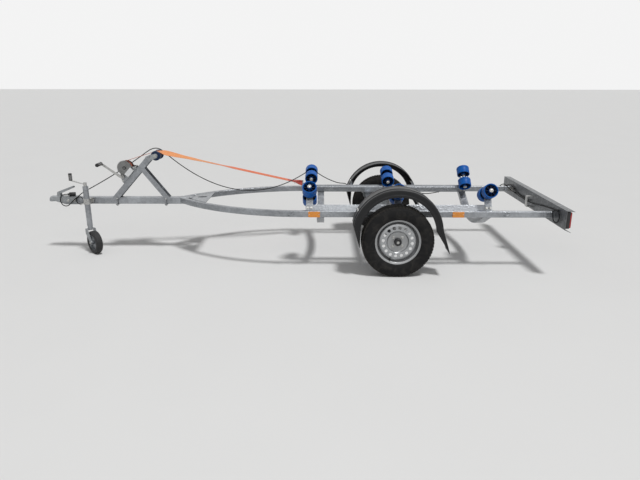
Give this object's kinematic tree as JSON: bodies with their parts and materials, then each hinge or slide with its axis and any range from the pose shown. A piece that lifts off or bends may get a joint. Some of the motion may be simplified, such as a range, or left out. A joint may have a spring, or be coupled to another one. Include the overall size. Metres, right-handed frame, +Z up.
{
  "type": "boat trailer",
  "caption": "Single axle boat trailer with a curved fork frame, tilting pairs of ribbed keel rollers, a winch post, a jockey wheel and a tail light board.",
  "frame": {"origin": "on the floor, under the middle of the bounding box", "axes": "+X to the tail, +Y to the right hand side seen in the direction of travel, +Z up"},
  "size_m": [4.39, 1.52, 0.9281],
  "materials": {
    "galvanised": "hot dip galvanised",
    "rim_silver": "satin silver",
    "zinc": "zinc plated",
    "tyre": "matte",
    "blue_roller": "satin",
    "dark_blue": "satin",
    "black_plastic": "matte",
    "red_lens": "gloss",
    "amber": "gloss",
    "strap_orange": "woven",
    "cable_black": "satin",
    "black_rubber": "matte"
  },
  "bodies": {
    "chassis": {"drawbar": "galvanised", "chassis_rail_left": "galvanised", "chassis_rail_right": "galvanised", "fork_gusset": "galvanised", "crossmembers": "galvanised", "bearers": "galvanised", "roller_posts": "galvanised", "axle_tube": "galvanised", "swing_arms": "galvanised", "mudguard_stays": "galvanised", "winch_post": "galvanised", "winch_brace": "galvanised", "post_clamps": "galvanised", "bow_bracket": "galvanised", "light_board": "galvanised", "board_brackets": "galvanised", "lashing_hardware": "galvanised", "jockey_clamp": "galvanised", "coupling_body": "galvanised", "winch_frame": "zinc", "mudguard_left": "black_plastic", "mudguard_right": "black_plastic", "strap_run": "strap_orange", "lamp_housings": "black_plastic", "lamp_lenses": "red_lens", "side_reflectors": "amber", "cable_held": "cable_black", "cable_free": "cable_black", "plug": "black_plastic", "cable_clips": "black_plastic"},
    "wheel_left": {"tyre_left": "tyre", "rim_left": "rim_silver", "hub_left": "zinc"},
    "wheel_right": {"tyre_right": "tyre", "rim_right": "rim_silver", "hub_right": "zinc"},
    "coupling_lever": {"coupling_handle": "zinc"},
    "jockey_outer": {"jockey_leg": "galvanised"},
    "jockey_inner": {"jockey_inner_tube": "galvanised"},
    "jockey_swivel": {"jockey_fork": "galvanised"},
    "jockey_wheel": {"jockey_tyre": "black_rubber", "jockey_rim": "galvanised"},
    "jockey_handle": {"jockey_crank": "zinc"},
    "drum": {"winch_drum": "zinc", "strap_wound": "strap_orange"},
    "crank": {"winch_crank": "zinc"},
    "bow_stop": {"bow_roller": "dark_blue"},
    "cradle_front_left": {"cradle_front_left": "zinc"},
    "rollers_front_left": {"rollers_front_left": "blue_roller"},
    "cradle_middle_left": {"cradle_middle_left": "zinc"},
    "rollers_middle_left": {"rollers_middle_left": "blue_roller"},
    "cradle_rear_left": {"cradle_rear_left": "zinc"},
    "rollers_rear_left": {"rollers_rear_left": "blue_roller"},
    "cradle_front_right": {"cradle_front_right": "zinc"},
    "rollers_front_right": {"rollers_front_right": "blue_roller"},
    "cradle_middle_right": {"cradle_middle_right": "zinc"},
    "rollers_middle_right": {"rollers_middle_right": "blue_roller"},
    "cradle_rear_right": {"cradle_rear_right": "zinc"},
    "rollers_rear_right": {"rollers_rear_right": "blue_roller"}
  },
  "joints": [
    {"name": "wheel_left_spin", "type": "hinge", "parent": "chassis", "child": "wheel_left", "pos_m": [0.85999, -0.662, 0.287], "axis": [0, 1, 0], "continuous": true},
    {"name": "wheel_right_spin", "type": "hinge", "parent": "chassis", "child": "wheel_right", "pos_m": [0.85999, 0.662, 0.287], "axis": [0, 1, 0], "continuous": true},
    {"name": "coupling_lever", "type": "hinge", "parent": "chassis", "child": "coupling_lever", "pos_m": [-2.10199, 0, 0.531], "axis": [0, -1, 0], "range_deg": [0, 40]},
    {"name": "jockey_clamp_height", "type": "slide", "parent": "chassis", "child": "jockey_outer", "axis": [0, 0, 1], "range_m": [0, 0.2]},
    {"name": "jockey_crank", "type": "hinge", "parent": "jockey_outer", "child": "jockey_handle", "pos_m": [-1.82499, -0.084, 0], "axis": [0, 0, 1], "continuous": true},
    {"name": "jockey_extension", "type": "slide", "parent": "jockey_outer", "child": "jockey_inner", "axis": [0, 0, 1], "range_m": [-0.12, 0.018]},
    {"name": "jockey_swivel", "type": "hinge", "parent": "jockey_inner", "child": "jockey_swivel", "pos_m": [-1.82499, -0.084, 0], "axis": [0, 0, 1], "continuous": true},
    {"name": "jockey_wheel_spin", "type": "hinge", "parent": "jockey_swivel", "child": "jockey_wheel", "pos_m": [-1.78188, -0.12281, 0.103], "axis": [0.6691, 0.7431, 0], "continuous": true},
    {"name": "winch_crank", "type": "hinge", "parent": "chassis", "child": "crank", "pos_m": [-1.50201, 0, 0.68667], "axis": [0, 1, 0], "continuous": true},
    {"name": "winch_drum", "type": "hinge", "parent": "chassis", "child": "drum", "pos_m": [-1.47524, 0, 0.76251], "axis": [0, 1, 0], "continuous": true},
    {"name": "bow_roller_spin", "type": "hinge", "parent": "chassis", "child": "bow_stop", "pos_m": [-1.19077, 0, 0.86942], "axis": [0, 1, 0], "continuous": true},
    {"name": "tilt_front_left", "type": "hinge", "parent": "chassis", "child": "cradle_front_left", "pos_m": [0.15999, -0.39961, 0.60292], "axis": [-1, 0, 0], "range_deg": [-40, 0]},
    {"name": "spin_front_left", "type": "hinge", "parent": "cradle_front_left", "child": "rollers_front_left", "pos_m": [0.15999, -0.39961, 0.60292], "axis": [0, 0.6691, -0.7431], "continuous": true},
    {"name": "tilt_middle_left", "type": "hinge", "parent": "chassis", "child": "cradle_middle_left", "pos_m": [0.88499, -0.39961, 0.60292], "axis": [-1, 0, 0], "range_deg": [-22, 18]},
    {"name": "spin_middle_left", "type": "hinge", "parent": "cradle_middle_left", "child": "rollers_middle_left", "pos_m": [0.88499, -0.39961, 0.60292], "axis": [0, 0.866, -0.5], "continuous": true},
    {"name": "tilt_rear_left", "type": "hinge", "parent": "chassis", "child": "cradle_rear_left", "pos_m": [1.62499, -0.39235, 0.61717], "axis": [-1, 0, 0], "range_deg": [-14, 26]},
    {"name": "spin_rear_left", "type": "hinge", "parent": "cradle_rear_left", "child": "rollers_rear_left", "pos_m": [1.62499, -0.39235, 0.61717], "axis": [0, 0.9272, -0.3746], "continuous": true},
    {"name": "tilt_front_right", "type": "hinge", "parent": "chassis", "child": "cradle_front_right", "pos_m": [0.15999, 0.38417, 0.63321], "axis": [1, 0, 0], "range_deg": [-7, 33]},
    {"name": "spin_front_right", "type": "hinge", "parent": "cradle_front_right", "child": "rollers_front_right", "pos_m": [0.15999, 0.38417, 0.63321], "axis": [0, 0.9659, 0.2588], "continuous": true},
    {"name": "tilt_middle_right", "type": "hinge", "parent": "chassis", "child": "cradle_middle_right", "pos_m": [0.88499, 0.39325, 0.61539], "axis": [1, 0, 0], "range_deg": [-12, 28]},
    {"name": "spin_middle_right", "type": "hinge", "parent": "cradle_middle_right", "child": "rollers_middle_right", "pos_m": [0.88499, 0.39325, 0.61539], "axis": [0, 0.9397, 0.342], "continuous": true},
    {"name": "tilt_rear_right", "type": "hinge", "parent": "chassis", "child": "cradle_rear_right", "pos_m": [1.62499, 0.39916, 0.60381], "axis": [1, 0, 0], "range_deg": [-38, 2]},
    {"name": "spin_rear_right", "type": "hinge", "parent": "cradle_rear_right", "child": "rollers_rear_right", "pos_m": [1.62499, 0.39916, 0.60381], "axis": [0, 0.6947, 0.7193], "continuous": true}
  ],
  "couplings": [
    {"joint": "winch_drum", "follows": "winch_crank", "ratio": -0.28571}
  ]
}
